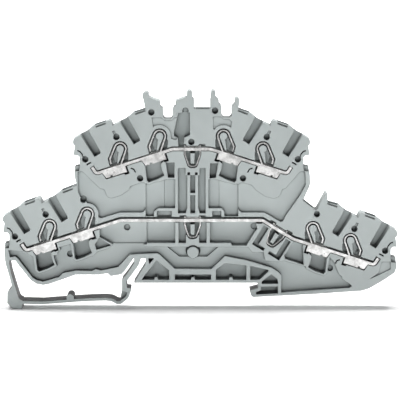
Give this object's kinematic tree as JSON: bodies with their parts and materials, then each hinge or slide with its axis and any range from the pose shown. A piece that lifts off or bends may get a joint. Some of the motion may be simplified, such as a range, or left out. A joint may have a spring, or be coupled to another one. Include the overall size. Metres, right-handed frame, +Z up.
{
  "type": "double level terminal block",
  "caption": "Slim moulded terminal block on two levels: an open-sided housing with clip-on rail foot, stepped current bars, spring clamps and contact springs.",
  "frame": {"origin": "middle of the seat on the mounting rail, halfway through the thickness", "axes": "+X along the block from the sprung foot to the fixed claw, +Y through its thickness to the closed wall, +Z up from the seat to the wire entries"},
  "size_m": [0.1044, 0.0052, 0.0584],
  "materials": {
    "housing": "fine moulded satin",
    "current_bar": "bright tin plating",
    "spring": "rolled spring strip"
  },
  "bodies": {
    "root": {"housing": "housing", "upper_current_bar": "current_bar", "lower_current_bar": "current_bar", "clamp_spring_upper_left_outer": "spring", "clamp_spring_upper_left_inner": "spring", "clamp_spring_upper_right_outer": "spring", "clamp_spring_upper_right_inner": "spring", "clamp_spring_lower_left_outer": "spring", "clamp_spring_lower_left_inner": "spring", "clamp_spring_lower_right_outer": "spring", "clamp_spring_lower_right_inner": "spring", "contact_spring_upper": "spring", "contact_spring_lower": "spring", "contact_spring_slope": "spring"}
  },
  "joints": []
}
